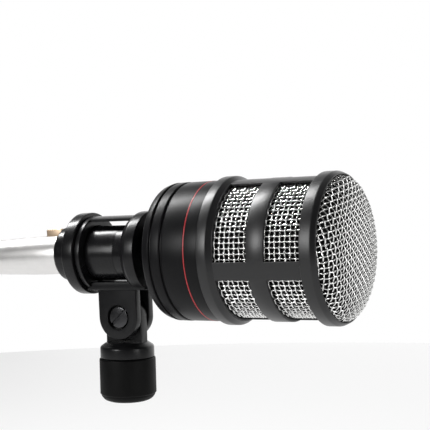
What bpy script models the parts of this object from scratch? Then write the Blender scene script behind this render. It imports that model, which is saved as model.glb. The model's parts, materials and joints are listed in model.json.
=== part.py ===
"""A large-basket ribbon microphone on a tilting stand mount, with its cable plug fitted.

The row's origin is the centre of the stand collar's bottom face. +Z is up and +X is the way
the microphone points. The head, neck and swivel cage hang from a tilt pivot, and are drawn in
the frame of the microphone's own axis, where x runs along it from above the pivot.
"""

import math

import bmesh
import bpy
from mathutils import Matrix

MM = 0.001

# Driving dimensions, in millimetres and degrees.
PIVOT_HEIGHT = 40.55  # tilt axis above the collar's bottom face
AXIS_OFFSET = 30.6  # microphone axis above the tilt axis
REST_TILT = 1.2  # nose up
PLUG_SAG = 1.5  # how far the plug's tail sags in its socket
PLUG_X = -24.5  # middle of the plug's nose, on the microphone axis
GAP = 0.3  # between pieces that touch

HEAD_R = 34.0  # bezel and rear ring of the basket
BODY_R = 32.3  # body shell and basket ribs
BODY_REAR, BODY_FRONT, BODY_BORE = 28.4, 58.2, 29.5
GROOVES = (33.4, 38.9)
GROOVE_WIDTH, GROOVE_DEPTH = 0.9, 0.9
ACCENT_X, ACCENT_WIDTH = 51.0, 0.8
BASKET_REAR, RING_STEP, BASKET_FRONT = 58.6, 65.4, 108.6
BEZEL_REAR, BEZEL_FRONT = 107.2, 114.6
WALL_R = 31.0  # inside of the basket ribs
RIB_WIDTH, RIB_FIRST, WINDOWS_ROUND = 14.5, -13.5, 4
WINDOW_ROWS = ((65.7, 81.8), (90.2, 106.7))
MESH_R, MESH_THICK = 30.0, 1.5
DOME_R, DOME_START, DOME_HEIGHT, DOME_POWER = 31.5, 113.6, 8.2, 2.4
FOAM_R = 28.7
CHASSIS_R, CHASSIS_REAR, CHASSIS_FRONT = 22.0, 53.5, 83.6

NECK_R, NECK_REAR, NECK_FRONT, NECK_BORE = 13.2, -32.4, 34.0, 11.6
RING_R, RING_REAR, RING_FRONT = 19.8, -22.7, -16.6
CAGE_R, CAGE_REAR, CAGE_FRONT, CAGE_BORE = 18.0, -16.2, 17.3, 13.5
FRONT_HOOP_R, FRONT_HOOP_FOOT = 19.6, -15.5
RAIL_IN, RAIL_HALF = 16.8, 22.0
SADDLE_TOP, SADDLE_BOTTOM, SADDLE_HALF = -13.55, -17.4, 8.7
EAR_IN, EAR_OUT, EAR_HALF = 3.55, 7.65, 10.6
TONGUE_HALF, TONGUE_R = 2.85, 9.9

COLLAR_R, COLLAR_TOP, COLLAR_ROUND = 13.55, 20.7, 4.2
BARREL_R, BARREL_FOOT, BARREL_TOP, SPIGOT_R = 13.0, 21.0, 28.2, 8.0
THREAD_R, THREAD_FOOT, THREAD_TOP = 7.45, 1.2, 14.6  # minor radius of a 5/8 inch stand thread

SOCKET_R, SOCKET_FACE = 8.35, -18.1
PLUG_NOSE_R, PLUG_R, PLUG_END_R = 7.95, 9.7, 8.45
PLUG_NOSE, PLUG_SHOULDER, PLUG_END, BOOT_END = 5.4, -8.4, -55.5, -70.0  # from PLUG_X
CABLE_R = 3.3
PIN_CIRCLE, PIN_R, PIN_ANGLES = 4.2, 1.15, (30, 150, 270)

RIBBON_HALF, RIBBON_LONG, RIBBON_X, FOLDS = 2.1, 13.2, 98.0, 22

BIG, MIDDLE, SMALL, TINY = 40, 28, 18, 10  # facets round


def clear_scene():
    for obj in list(bpy.data.objects):
        bpy.data.objects.remove(obj)


def material(name, colour, roughness, metallic=0.0):
    made = bpy.data.materials.new(name)
    made.use_nodes = True
    shader = made.node_tree.nodes["Principled BSDF"]
    shader.inputs["Base Color"].default_value = (*colour, 1)
    shader.inputs["Roughness"].default_value = roughness
    shader.inputs["Metallic"].default_value = metallic
    return made


def empty(name, parent=None, at=(0, 0, 0), turn_y=0.0):
    made = bpy.data.objects.new(name, None)
    bpy.context.collection.objects.link(made)
    made.parent = parent
    made.location = [value * MM for value in at]
    made.rotation_euler.y = math.radians(turn_y)
    return made


# Shapes: each function below draws in millimetres into a bmesh.


def spun(outline, steps, axis="X"):
    """A solid of revolution about an axis, from a closed loop of (along, radius)."""
    bm = bmesh.new()
    places = {
        "X": lambda along, radius: (along, 0, radius),
        "Y": lambda along, radius: (radius, along, 0),
        "Z": lambda along, radius: (radius, 0, along),
    }
    verts = [bm.verts.new(places[axis](along, radius)) for along, radius in outline]
    ends = zip(range(len(outline)), [*range(1, len(outline)), 0])
    loop = [
        bm.edges.new((verts[a], verts[b])) for a, b in ends if outline[a][1] or outline[b][1]
    ]
    turn = tuple(float(axis == name) for name in "XYZ")
    bmesh.ops.spin(
        bm, geom=verts + loop, cent=(0, 0, 0), axis=turn, angle=math.tau, steps=steps
    )
    return bm


def arc(centre, radius, start, end, steps):
    """Points (along, radius) on an arc, from one angle to another, in degrees."""
    points = []
    for step in range(steps + 1):
        angle = math.radians(start + (end - start) * step / steps)
        points.append((centre[0] + radius * math.cos(angle), centre[1] + radius * math.sin(angle)))
    return points


def block(low, high):
    bm = bmesh.new()
    size = [b - a for a, b in zip(low, high)]
    middle = [(a + b) / 2 for a, b in zip(low, high)]
    made = bmesh.ops.create_cube(bm, size=1)
    bmesh.ops.scale(bm, vec=size, verts=made["verts"])
    bmesh.ops.translate(bm, vec=middle, verts=made["verts"])
    return bm


def slab(outline, low, high):
    """A flat outline of (x, z) points, extruded along Y from low to high."""
    bm = bmesh.new()
    face = bm.faces.new([bm.verts.new((x, low, z)) for x, z in outline])
    grown = bmesh.ops.extrude_face_region(bm, geom=[face])["geom"]
    moved = [item for item in grown if isinstance(item, bmesh.types.BMVert)]
    bmesh.ops.translate(bm, vec=(0, high - low, 0), verts=moved)
    return bm


def sector(x_low, x_high, r_low, r_high, start, end, steps):
    """A piece of a tube along X between two angles, in degrees above the -Y side."""
    bm = bmesh.new()
    rows = []
    for step in range(steps + 1):
        angle = math.radians(start + (end - start) * step / steps)
        across, up = -math.cos(angle), math.sin(angle)
        corners = ((x_low, r_low), (x_high, r_low), (x_high, r_high), (x_low, r_high))
        rows.append([bm.verts.new((x, r * across, r * up)) for x, r in corners])
    bm.faces.new(rows[0])
    bm.faces.new(rows[-1][::-1])
    for first, second in zip(rows, rows[1:]):
        for corner in range(4):
            following = (corner + 1) % 4
            bm.faces.new((first[corner], first[following], second[following], second[corner]))
    return bm


def solid(name, bm, finish, parent=None):
    """Turns a bmesh in millimetres into a named object in metres."""
    bmesh.ops.remove_doubles(bm, verts=bm.verts, dist=1e-4)
    bmesh.ops.recalc_face_normals(bm, faces=bm.faces)
    bmesh.ops.scale(bm, vec=(MM, MM, MM), verts=bm.verts)
    mesh = bpy.data.meshes.new(name)
    bm.to_mesh(mesh)
    bm.free()
    mesh.shade_smooth()
    mesh.set_sharp_from_angle(angle=math.radians(32))
    obj = bpy.data.objects.new(name, mesh)
    bpy.context.collection.objects.link(obj)
    obj.parent = parent
    if finish:
        mesh.materials.append(finish)
    return obj


def turned(name, outline, finish, parent=None, steps=MIDDLE, axis="X"):
    return solid(name, spun(outline, steps, axis), finish, parent)


def tool(name, bm, parent):
    """A hidden shape that only cuts or fills another."""
    made = solid(name, bm, None, parent)
    made.hide_render = True
    made.display_type = "WIRE"
    return made


def combine(obj, other, operation):
    modifier = obj.modifiers.new(other.name, "BOOLEAN")
    modifier.operation = operation
    modifier.object = other


def tube(x_low, x_high, r_in, r_out):
    return [(x_low, r_in), (x_low, r_out), (x_high, r_out), (x_high, r_in)]


def rod(x_low, x_high, radius):
    return [(x_low, 0), (x_low, radius), (x_high, radius), (x_high, 0)]


def round_the_axis(radius, angles):
    for angle in angles:
        turn = math.radians(angle)
        yield radius * math.cos(turn), radius * math.sin(turn)


# Head


def basket_cage(paint, mic):
    """Turned cage: rear ring, two rows of windows, and a spigot at each end."""
    outline = [
        (CHASSIS_REAR, 27.6),
        (CHASSIS_REAR, 29.2),
        (BASKET_REAR, 29.2),
        (BASKET_REAR, HEAD_R - 0.5),
        (BASKET_REAR + 0.5, HEAD_R),
        (RING_STEP - 2.1, HEAD_R),
        (RING_STEP, BODY_R),
        (BASKET_FRONT, BODY_R),
        (BASKET_FRONT, 31.6),
        (111.4, 31.6),
        (111.4, 30.4),
        (BASKET_FRONT - 1, 30.4),
        (BASKET_FRONT - 1, WALL_R),
        (RING_STEP - 3.4, WALL_R),
        (RING_STEP - 3.4, 27.6),
    ]
    cage = turned("basket_cage", outline, paint, mic, BIG)
    pitch = 360 / WINDOWS_ROUND
    for row, (rear, front) in enumerate(WINDOW_ROWS):
        for window in range(WINDOWS_ROUND):
            start = RIB_FIRST + RIB_WIDTH / 2 + pitch * window
            end = start + pitch - RIB_WIDTH
            shape = sector(rear, front, WALL_R - 2, HEAD_R + 1, start, end, 5)
            combine(cage, tool(f"window_{row}_{window}", shape, mic), "DIFFERENCE")


def front_bezel(paint, mic):
    """Rim round the dome, with a skirt over the front of the basket."""
    outline = [
        (BASKET_FRONT + GAP, 31.95),
        (BASKET_FRONT + GAP, BODY_R + GAP),
        (BEZEL_REAR, BODY_R + GAP),
        (BEZEL_REAR, HEAD_R - 0.4),
        (BEZEL_REAR + 0.4, HEAD_R),
        (BEZEL_FRONT - 2.3, HEAD_R),
        (BEZEL_FRONT, 32.9),
        (BEZEL_FRONT, 32.35),
        (111.7, 32.35),
        (111.7, 31.95),
    ]
    turned("front_bezel", outline, paint, mic, BIG)


def dome_outline(radius, height, steps):
    """Quarter of a flattened cap: (along, radius), from the rim to the axis."""
    points = []
    for step in range(steps + 1):
        r = radius * math.cos(math.pi / 2 * step / steps)
        share = 1 - (r / radius) ** DOME_POWER
        points.append((DOME_START + height * share ** (1 / DOME_POWER), r if step < steps else 0))
    return points


def grille(steel, mic):
    low, high = MESH_R - MESH_THICK / 2, MESH_R + MESH_THICK / 2
    turned("side_mesh", tube(62.4, BASKET_FRONT - 1.3, low, high), steel, mic, BIG)
    outer = dome_outline(DOME_R + MESH_THICK / 2 - 0.2, DOME_HEIGHT + MESH_THICK / 2, 5)
    inner = dome_outline(DOME_R - MESH_THICK / 2 - 0.2, DOME_HEIGHT - MESH_THICK / 2, 5)
    skirt = 111.9
    outline = [(skirt, outer[0][1]), *outer, *inner[::-1], (skirt, inner[0][1])]
    turned("dome_mesh", outline, steel, mic, BIG)


def foam_liners(foam, mic):
    turned("foam_side", tube(62.5, 107.2, 27.0, FOAM_R), foam, mic, MIDDLE)
    cap = dome_outline(29.9, DOME_HEIGHT - 1.6, 5)
    turned("foam_front", [(107.7, 0), (107.7, 29.9), *cap], foam, mic, MIDDLE)


def body_shell(paint, mic):
    """Round-shouldered cup behind the basket, with two turned grooves and a ring seat."""
    shoulder = arc((33.0, BODY_R - 4.4), 4.4, 154, 90, 5)
    outline = [(30.6, 27.4), (BODY_REAR, 27.4), (BODY_REAR, 29.0), *shoulder]
    for start, width in [(x, GROOVE_WIDTH) for x in GROOVES] + [(ACCENT_X, ACCENT_WIDTH)]:
        floor = BODY_R - GROOVE_DEPTH
        outline += [(start, BODY_R), (start, floor), (start + width, floor)]
        outline += [(start + width, BODY_R)]
    outline += [(BODY_FRONT, BODY_R), (BODY_FRONT, BODY_BORE), (30.6, BODY_BORE)]
    turned("body_shell", outline, paint, mic, BIG)


def accent_ring(red, mic):
    low, high = ACCENT_X + 0.12, ACCENT_X + ACCENT_WIDTH - 0.12
    seat = BODY_R - GROOVE_DEPTH + 0.15
    turned("accent_ring", tube(low, high, seat, BODY_R - 0.02), red, mic, BIG)


def back_plate(paint, mic):
    outline = [
        (29.4, 27.1),
        (26.9, 17.0),
        (26.9, NECK_R + GAP),
        (31.0, NECK_R + GAP),
        (31.0, 27.0),
    ]
    turned("back_plate", outline, paint, mic, MIDDLE)


# Ribbon motor and electronics, inside the head


def chassis(aluminium, mic):
    """Flanged tube that carries the motor from the body's mouth."""
    wall = CHASSIS_R - 1.6
    outline = [
        (CHASSIS_REAR, wall),
        (CHASSIS_REAR, 27.2),
        (CHASSIS_REAR + 2, 27.2),
        (CHASSIS_REAR + 2, CHASSIS_R),
        (CHASSIS_FRONT, CHASSIS_R),
        (CHASSIS_FRONT, 8.0),
        (CHASSIS_FRONT - 2, 8.0),
        (CHASSIS_FRONT - 2, wall),
    ]
    turned("chassis", outline, aluminium, mic, MIDDLE)


def frame_with_window(name, x, outer, inner, finish, mic):
    """A flat frame across the axis: outer and inner are half sizes (y, z)."""
    frame = solid(name, block((x[0], -outer[0], -outer[1]), (x[1], *outer)), finish, mic)
    hole = block((x[0] - 1, -inner[0], -inner[1]), (x[1] + 1, *inner))
    combine(frame, tool(f"{name}_window", hole, mic), "DIFFERENCE")


def ribbon_motor(finishes, mic):
    steel, magnet, aluminium = (finishes[n] for n in ("dark_steel", "magnet", "aluminium"))
    frame_with_window("motor_frame", (91.5, 94.5), (14.5, 21.5), (7.5, 15.5), aluminium, mic)
    frame_with_window("return_yoke", (95.0, 101.0), (15.2, 19.5), (13.1, 17.4), steel, mic)
    for side, name in ((-1, "left"), (1, "right")):
        pole = sorted((side * 2.7, side * 6.5))
        bar = sorted((side * 6.8, side * 12.8))
        shape = block((95.2, pole[0], -17.0), (100.8, pole[1], 17.0))
        solid(f"pole_piece_{name}", shape, steel, mic)
        solid(f"magnet_{name}", block((95.2, bar[0], -16.0), (100.8, bar[1], 16.0)), magnet, mic)
    for side, name in ((-1, "bottom"), (1, "top")):
        low, high = sorted((side * 13.4, side * 16.8))
        clamp = solid(
            f"ribbon_clamp_{name}", block((98.8, -2.3, low), (100.8, 2.3, high)), aluminium, mic
        )
        hole = spun(rod(98, 102, 1.2), TINY)
        bmesh.ops.translate(hole, vec=(0, 0, side * 15.1), verts=hole.verts)
        combine(clamp, tool(f"clamp_hole_{name}", hole, mic), "DIFFERENCE")
        screw = [(98.9, 0), (98.9, 0.9), (101.2, 0.9), (101.2, 1.7), (102.2, 1.5), (102.2, 0)]
        screw = spun(screw, TINY)
        bmesh.ops.translate(screw, vec=(0, 0, side * 15.1), verts=screw.verts)
        solid(f"clamp_screw_{name}", screw, finishes["brass"], mic)
    ribbon_foil(aluminium, mic)


def ribbon_foil(aluminium, mic):
    """Corrugated foil between the poles, thicker than the real leaf so that it is a solid."""
    thickness, depth = 0.25, 0.45
    ends = 16.6
    front = []
    for fold in range(FOLDS + 1):
        height = -RIBBON_LONG + 2 * RIBBON_LONG * fold / FOLDS
        front.append((RIBBON_X + depth * (-1) ** fold / 2, height))
    front = [(RIBBON_X + 0.3, -ends), *front, (RIBBON_X + 0.3, ends)]
    back = [(x - thickness, height) for x, height in front[::-1]]
    solid("ribbon_foil", slab(front + back, -RIBBON_HALF, RIBBON_HALF), aluminium, mic)


def motor_isolators(rubber, mic):
    corners = [(y, z) for y in (-10.5, 10.5) for z in (-15.5, 15.5)]
    waist = [(84.0, 0), (84.0, 2.5), (86.0, 2.5), (87.4, 1.5), (88.8, 2.5), (91.1, 2.5), (91.1, 0)]
    for number, (y, z) in enumerate(corners, 1):
        shape = spun(waist, TINY)
        bmesh.ops.translate(shape, vec=(0, y, z), verts=shape.verts)
        solid(f"motor_isolator_{number}", shape, rubber, mic)


def transformer(finishes, mic):
    core = solid("transformer_core", block((60, -12, -5), (78, 12, 5)), finishes["dark_steel"], mic)
    for side in (-1, 1):
        low, high = sorted((side * 3.5, side * 9.2))
        window = block((63, low, -7), (75, high, 7))
        combine(core, tool(f"core_window_{side + 1}", window, mic), "DIFFERENCE")
    winding = block((63.5, -8.7, -9.5), (74.5, 8.7, 9.5))
    coil = solid("transformer_coil", winding, finishes["copper"], mic)
    hole = block((62, -3.9, -5.4), (76, 3.9, 5.4))
    combine(coil, tool("coil_window", hole, mic), "DIFFERENCE")
    can = [(57, 18.9), (57, 19.7), (81.1, 19.7), (81.1, 6.0), (80.3, 6.0), (80.3, 18.9)]
    turned("transformer_can", can, finishes["magnet"], mic, SMALL)


def terminal_board(board, mic):
    turned("terminal_board", tube(46.0, 47.6, 3.0, 24.0), board, mic, MIDDLE)


def lead_wires(skin, mic):
    """Three leads from the terminal board, back through the neck to the pins."""
    for number, (y, z) in enumerate(round_the_axis(PIN_CIRCLE, PIN_ANGLES), 1):
        route = [(45.5, 2.2 * y, 2.2 * z), (40, 2.3 * y, 2.3 * z), (34, 2.0 * y, 2.0 * z)]
        route += [(26, 1.6 * y, 1.6 * z), (14, 1.7 * y, 1.4 * z), (4, 1.5 * y, 1.5 * z)]
        route += [(-4, 1.2 * y, 1.2 * z), (-9, y, z), (-11.0, y, z)]
        curve = bpy.data.curves.new(f"lead_wire_{number}", "CURVE")
        curve.dimensions = "3D"
        spline = curve.splines.new("POLY")
        spline.points.add(len(route) - 1)
        for point, place in zip(spline.points, route):
            point.co = (*(value * MM for value in place), 1)
        curve.bevel_depth = 0.6 * MM
        curve.bevel_resolution = 1
        curve.use_fill_caps = True
        curve.materials.append(skin)
        wire = bpy.data.objects.new(f"lead_wire_{number}", curve)
        bpy.context.collection.objects.link(wire)
        wire.parent = mic


# Neck, socket and cable plug


def neck_tube(plastic, mic):
    outline = [
        (NECK_REAR, NECK_BORE),
        (NECK_REAR, NECK_R - 0.9),
        (NECK_REAR + 0.5, NECK_R - 0.3),
        (NECK_REAR + 1.6, NECK_R),
        (31.4, NECK_R),
        (31.4, 19.0),
        (NECK_FRONT, 19.0),
        (NECK_FRONT, NECK_BORE),
        (-11.4, NECK_BORE),
        (-11.4, 10.0),
        (-13.4, 10.0),
        (-13.4, NECK_BORE),
    ]
    turned("neck_tube", outline, plastic, mic, MIDDLE)


def retaining_ring(plastic, mic):
    chamfer = 0.5
    outline = [
        (RING_REAR, CAGE_BORE),
        (RING_REAR, RING_R - chamfer),
        (RING_REAR + chamfer, RING_R),
        (RING_FRONT - chamfer, RING_R),
        (RING_FRONT, RING_R - chamfer),
        (RING_FRONT, CAGE_BORE),
    ]
    turned("retaining_ring", outline, plastic, mic, MIDDLE)


def drilled(name, outline, hole_r, reach, finish, parent, steps=SMALL):
    """A disc or plug with one hole for each pin."""
    made = turned(name, outline, finish, parent, steps)
    for number, (y, z) in enumerate(round_the_axis(PIN_CIRCLE, PIN_ANGLES), 1):
        hole = spun(rod(*reach, hole_r), TINY)
        bmesh.ops.translate(hole, vec=(0, y, z), verts=hole.verts)
        combine(made, tool(f"{name}_hole_{number}", hole, parent), "DIFFERENCE")


def socket(finishes, mic):
    cup = tube(NECK_REAR + 0.3, SOCKET_FACE - GAP, SOCKET_R, NECK_BORE - GAP)
    turned("socket_cup", cup, finishes["nickel"], mic, MIDDLE)
    insert = rod(SOCKET_FACE, -13.8, NECK_BORE - GAP)
    reach = (SOCKET_FACE - 1, -13)
    drilled("socket_insert", insert, PIN_R + GAP, reach, finishes["black_plastic"], mic)
    shape = [(-29.6, 0), (-29.6, 0.6), (-29.0, PIN_R), (-11.8, PIN_R), (-11.8, 0)]
    for number, (y, z) in enumerate(round_the_axis(PIN_CIRCLE, PIN_ANGLES), 1):
        pin = spun(shape, TINY)
        bmesh.ops.translate(pin, vec=(0, y, z), verts=pin.verts)
        solid(f"socket_pin_{number}", pin, finishes["nickel"], mic)


def plug_barrel(nickel, plug):
    """Nickel shell: nose in the socket, straight body, long taper, slot for the latch."""
    straight = -22.0
    outline = [
        (PLUG_NOSE, 7.0),
        (PLUG_NOSE, PLUG_NOSE_R - 0.3),
        (PLUG_NOSE - 0.5, PLUG_NOSE_R),
        (PLUG_SHOULDER, PLUG_NOSE_R),
        (PLUG_SHOULDER, PLUG_R - 0.3),
        (PLUG_SHOULDER - 0.4, PLUG_R),
        (straight, PLUG_R),
        (-38.0, 9.15),
        (PLUG_END + 0.6, PLUG_END_R),
        (PLUG_END, PLUG_END_R - 0.5),
        (PLUG_END, 7.3),
        (-38.0, 7.6),
        (-20.0, 7.6),
        (-10.0, 7.0),
    ]
    barrel = turned("plug_barrel", outline, nickel, plug, MIDDLE)
    slot = block((-18.8, -3.0, 4.0), (-8.0, 3.0, 12.0))
    combine(barrel, tool("latch_slot", slot, plug), "DIFFERENCE")


def plug_parts(finishes, plug):
    plug_barrel(finishes["nickel"], plug)
    insert = rod(-8.6, PLUG_NOSE - 0.4, 6.65)
    drilled("plug_insert", insert, 2.15, (-10, 6), finishes["black_plastic"], plug)
    for number, (y, z) in enumerate(round_the_axis(PIN_CIRCLE, PIN_ANGLES), 1):
        sleeve = spun(tube(-8.4, 4.2, 1.45, 1.85), TINY)
        bmesh.ops.translate(sleeve, vec=(0, y, z), verts=sleeve.verts)
        solid(f"plug_contact_{number}", sleeve, finishes["brass"], plug)
    latch = [(-18.4, 7.9), (-9.1, 7.9), (-9.1, 12.2), (-9.6, 12.7), (-17.9, 12.7), (-18.4, 12.2)]
    solid("plug_latch", slab(latch, -2.6, 2.6), finishes["nickel"], plug)
    boot = [(PLUG_END - GAP, CABLE_R), (PLUG_END - GAP, 8.0), (-58.0, 7.9), (-64.0, 6.9)]
    boot += [(BOOT_END + 0.6, 6.0), (BOOT_END, 5.5), (BOOT_END, CABLE_R)]
    turned("plug_boot", boot, finishes["rubber"], plug, MIDDLE)


# Swivel cage, pivot and stand mount


def swivel_cage(plastic, mic):
    """Two hoops round the neck, joined by a rail on top and a saddle that carries the ears."""
    bore = CAGE_BORE
    rear = turned(
        "swivel_cage", tube(CAGE_REAR, CAGE_REAR + 2.4, bore, CAGE_R), plastic, mic, MIDDLE
    )
    flare = [(9.0, bore), (9.0, 17.6), (12.0, FRONT_HOOP_R), (CAGE_FRONT - 0.4, FRONT_HOOP_R)]
    flare += [(CAGE_FRONT, FRONT_HOOP_R - 0.4), (CAGE_FRONT, bore)]
    front = tool("cage_front_hoop", spun(flare, MIDDLE), mic)
    below = block((0, -30, -30), (30, 30, FRONT_HOOP_FOOT))
    combine(front, tool("cage_hoop_foot", below, mic), "DIFFERENCE")
    rail = sector(-15.0, 11.0, RAIL_IN, CAGE_R - 0.07, 90 - RAIL_HALF, 90 + RAIL_HALF, 4)
    saddle = block(
        (CAGE_REAR + 0.11, -SADDLE_HALF, SADDLE_BOTTOM), (16.6, SADDLE_HALF, SADDLE_TOP)
    )
    combine(rear, front, "UNION")
    combine(rear, tool("cage_rail", rail, mic), "UNION")
    combine(rear, tool("cage_saddle", saddle, mic), "UNION")
    # (x, z) of an ear: a straight-sided tab with a round foot about the pivot
    foot = arc((0, -AXIS_OFFSET), EAR_HALF, 0, -180, 12)
    ear = [(EAR_HALF, SADDLE_TOP - 1), *foot, (-EAR_HALF - 0.6, SADDLE_TOP - 1)]
    for side, name in ((-1, "near"), (1, "far")):
        low, high = sorted((side * EAR_IN, side * EAR_OUT))
        combine(rear, tool(f"cage_ear_{name}", slab(ear, low, high), mic), "UNION")
    shank = spun(rod(-9, 9, 2.3), SMALL, "Y")
    counterbore = spun(rod(-9, -4.9, 5.9), MIDDLE, "Y")
    pocket = spun(rod(5.0, 9, 4.9), 6, "Y")
    for name, shape in (("shank", shank), ("counterbore", counterbore), ("pocket", pocket)):
        bmesh.ops.translate(shape, vec=(0, 0, -AXIS_OFFSET), verts=shape.verts)
        combine(rear, tool(f"cage_{name}", shape, mic), "DIFFERENCE")


def pivot_hardware(finishes, tilt):
    """Slotted screw from the -Y side and a hexagon nut in the far ear's pocket."""
    outline = [(-7.1, 0), (-7.1, 4.8), (-6.8, 5.1), (-5.2, 5.1), (-5.2, 2.0), (7.2, 2.0), (7.2, 0)]
    screw = turned("pivot_screw", outline, finishes["dark_steel"], tilt, SMALL, "Y")
    slot = block((-7, -9, -0.7), (7, -6.2, 0.7))
    turn = Matrix.Rotation(math.radians(-42), 3, "Y")
    bmesh.ops.rotate(slot, cent=(0, 0, 0), matrix=turn, verts=slot.verts)
    combine(screw, tool("screw_slot", slot, tilt), "DIFFERENCE")
    nut = [(5.3, 2.3), (5.3, 4.5), (7.4, 4.5), (7.4, 2.3)]
    turned("pivot_nut", nut, finishes["dark_steel"], tilt, 6, "Y")


def friction_washers(fibre):
    for side, name in ((-1, "near"), (1, "far")):
        low, high = sorted((side * (TONGUE_HALF + 0.2), side * (EAR_IN - 0.15)))
        washer = spun(tube(low, high, 2.6, 7.0), SMALL, "Y")
        bmesh.ops.translate(washer, vec=(0, 0, PIVOT_HEIGHT), verts=washer.verts)
        solid(f"friction_washer_{name}", washer, fibre)


def stand_barrel(plastic):
    """The tongue between the ears, on a shouldered barrel with a spigot for the collar."""
    outline = [
        (15.2, 0),
        (15.2, SPIGOT_R - 0.4),
        (15.6, SPIGOT_R),
        (BARREL_FOOT, SPIGOT_R),
        (BARREL_FOOT, BARREL_R - 0.3),
        (BARREL_FOOT + 0.3, BARREL_R),
        (BARREL_FOOT + 4.8, BARREL_R),
        (BARREL_FOOT + 5.6, BARREL_R - 0.5),
        (BARREL_TOP, TONGUE_R + 0.2),
        (BARREL_TOP, 0),
    ]
    barrel = turned("stand_barrel", outline, plastic, steps=MIDDLE, axis="Z")
    top = arc((0, PIVOT_HEIGHT), TONGUE_R, 180, 0, 12)
    tongue = [(TONGUE_R, 26.0), (-TONGUE_R, 26.0), *top]
    combine(barrel, tool("tongue", slab(tongue, -TONGUE_HALF, TONGUE_HALF), None), "UNION")
    hole = spun(rod(-4, 4, 2.3), SMALL, "Y")
    bmesh.ops.translate(hole, vec=(0, 0, PIVOT_HEIGHT), verts=hole.verts)
    combine(barrel, tool("tongue_hole", hole, None), "DIFFERENCE")


def thread_collar(finishes):
    """Hand-turned collar on the barrel's spigot, with the brass stand thread inside it."""
    corner = COLLAR_R - COLLAR_ROUND
    outline = [
        (0, 8.2),
        *((z, r) for r, z in arc((corner, COLLAR_ROUND), COLLAR_ROUND, -90, 0, 5)),
        (COLLAR_TOP - 0.4, COLLAR_R),
        (COLLAR_TOP, COLLAR_R - 0.4),
        (COLLAR_TOP, SPIGOT_R + 0.35),
        (18.2, SPIGOT_R + 0.35),
        (18.2, 9.8),
        (0.9, 9.8),
        (0.9, 8.2),
    ]
    turned("thread_collar", outline, finishes["collar_black"], axis="Z", steps=MIDDLE)
    sleeve = tube(THREAD_FOOT, THREAD_TOP, THREAD_R, 9.5)
    turned("thread_insert", sleeve, finishes["brass"], axis="Z", steps=MIDDLE)
    clip = tube(16.6, 17.7, SPIGOT_R + 0.3, 9.5)
    turned("collar_clip", clip, finishes["dark_steel"], axis="Z", steps=SMALL)


def main():
    clear_scene()
    finishes = {
        "body_paint": material("body_paint", (0.020, 0.020, 0.022), 0.38),
        "black_plastic": material("black_plastic", (0.018, 0.018, 0.019), 0.30),
        "collar_black": material("collar_black", (0.022, 0.022, 0.023), 0.62),
        "mesh_steel": material("mesh_steel", (0.78, 0.78, 0.78), 0.25, 1.0),
        "foam": material("foam", (0.008, 0.008, 0.008), 0.95),
        "accent_red": material("accent_red", (0.55, 0.02, 0.03), 0.4),
        "nickel": material("nickel", (0.72, 0.71, 0.69), 0.3, 1.0),
        "brass": material("brass", (0.70, 0.52, 0.25), 0.3, 1.0),
        "dark_steel": material("dark_steel", (0.10, 0.10, 0.10), 0.35, 1.0),
        "aluminium": material("aluminium", (0.75, 0.76, 0.77), 0.35, 1.0),
        "magnet": material("magnet", (0.45, 0.45, 0.46), 0.3, 1.0),
        "rubber": material("rubber", (0.015, 0.015, 0.015), 0.8),
        "copper": material("copper", (0.72, 0.36, 0.20), 0.35, 1.0),
        "board": material("board", (0.02, 0.16, 0.08), 0.5),
        "washer_fibre": material("washer_fibre", (0.03, 0.03, 0.03), 0.7),
        "wire_skin": material("wire_skin", (0.50, 0.05, 0.04), 0.5),
    }
    tilt = empty("tilt_pivot", at=(0, 0, PIVOT_HEIGHT), turn_y=-REST_TILT)
    mic = empty("microphone_axis", tilt, at=(0, 0, AXIS_OFFSET))
    plug = empty("plug_axis", mic, at=(PLUG_X, 0, 0), turn_y=-PLUG_SAG)
    basket_cage(finishes["body_paint"], mic)
    front_bezel(finishes["body_paint"], mic)
    grille(finishes["mesh_steel"], mic)
    foam_liners(finishes["foam"], mic)
    body_shell(finishes["body_paint"], mic)
    accent_ring(finishes["accent_red"], mic)
    back_plate(finishes["body_paint"], mic)
    chassis(finishes["aluminium"], mic)
    ribbon_motor(finishes, mic)
    motor_isolators(finishes["rubber"], mic)
    transformer(finishes, mic)
    terminal_board(finishes["board"], mic)
    lead_wires(finishes["wire_skin"], mic)
    neck_tube(finishes["black_plastic"], mic)
    retaining_ring(finishes["black_plastic"], mic)
    socket(finishes, mic)
    plug_parts(finishes, plug)
    swivel_cage(finishes["black_plastic"], mic)
    pivot_hardware(finishes, tilt)
    friction_washers(finishes["washer_fibre"])
    stand_barrel(finishes["black_plastic"])
    thread_collar(finishes)


main()
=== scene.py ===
"""Looks for the ribbon microphone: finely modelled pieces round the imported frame, the finish
of each one, and a pale studio. Shapes are drawn in millimetres in the piece's own frame: the
microphone's axis along X, its cable plug along X, or the stand's collar along Z."""

import json
import math

import bmesh
import bpy
from mathutils import Matrix, Vector


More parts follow.
